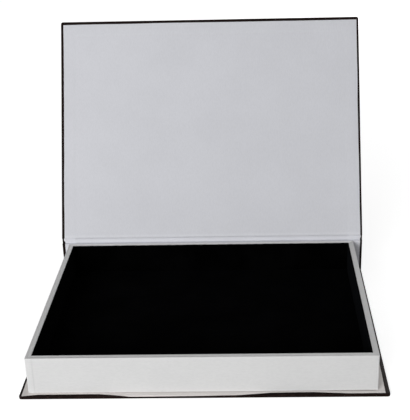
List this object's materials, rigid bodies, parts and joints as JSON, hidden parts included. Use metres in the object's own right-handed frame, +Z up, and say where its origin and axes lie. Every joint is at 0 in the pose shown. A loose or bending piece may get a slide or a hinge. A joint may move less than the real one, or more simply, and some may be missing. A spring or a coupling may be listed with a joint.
{
  "type": "decorative book box",
  "caption": "Book-shaped presentation box: a leatherette case with a hinged lid carries a shallow paper-covered tray lined with black velvet.",
  "frame": {"origin": "on the surface the box stands on, under the middle of the case (base board and spine, closed footprint)", "axes": "+Z up; +X to the right as the open box faces the viewer, along the hinge fold; +Y from the fore-edge at the front to the spine at the back"},
  "size_m": [0.33, 0.3487, 0.262],
  "materials": {
    "board": "grey bookboard, matt",
    "leatherette": "brown-black leatherette, fine grain, satin",
    "lining_paper": "cool white lining paper, matt",
    "wrap_paper": "white wrapping paper, matt",
    "velvet": "black velvet, short pile"
  },
  "bodies": {
    "base": {"base_board": "board", "base_cover": "leatherette", "base_lining": "lining_paper", "lower_crease": "leatherette", "spine_board": "board", "spine_cover": "leatherette", "spine_lining": "lining_paper", "hinge_fold": "leatherette", "tray_front_wall": "board", "tray_rear_wall": "board", "tray_left_wall": "board", "tray_right_wall": "board", "tray_floor": "board", "tray_wrap": "wrap_paper", "front_velvet": "velvet", "rear_velvet": "velvet", "left_velvet": "velvet", "right_velvet": "velvet", "floor_card": "board", "floor_velvet": "velvet"},
    "lid": {"lid_board": "board", "lid_cover": "leatherette", "lid_lining": "lining_paper"}
  },
  "joints": [
    {"name": "lid_hinge", "type": "hinge", "parent": "base", "child": "lid", "pos_m": [0, 0.12105, 0.043], "axis": [1, 0, 0], "range_deg": [-74, 116]}
  ]
}
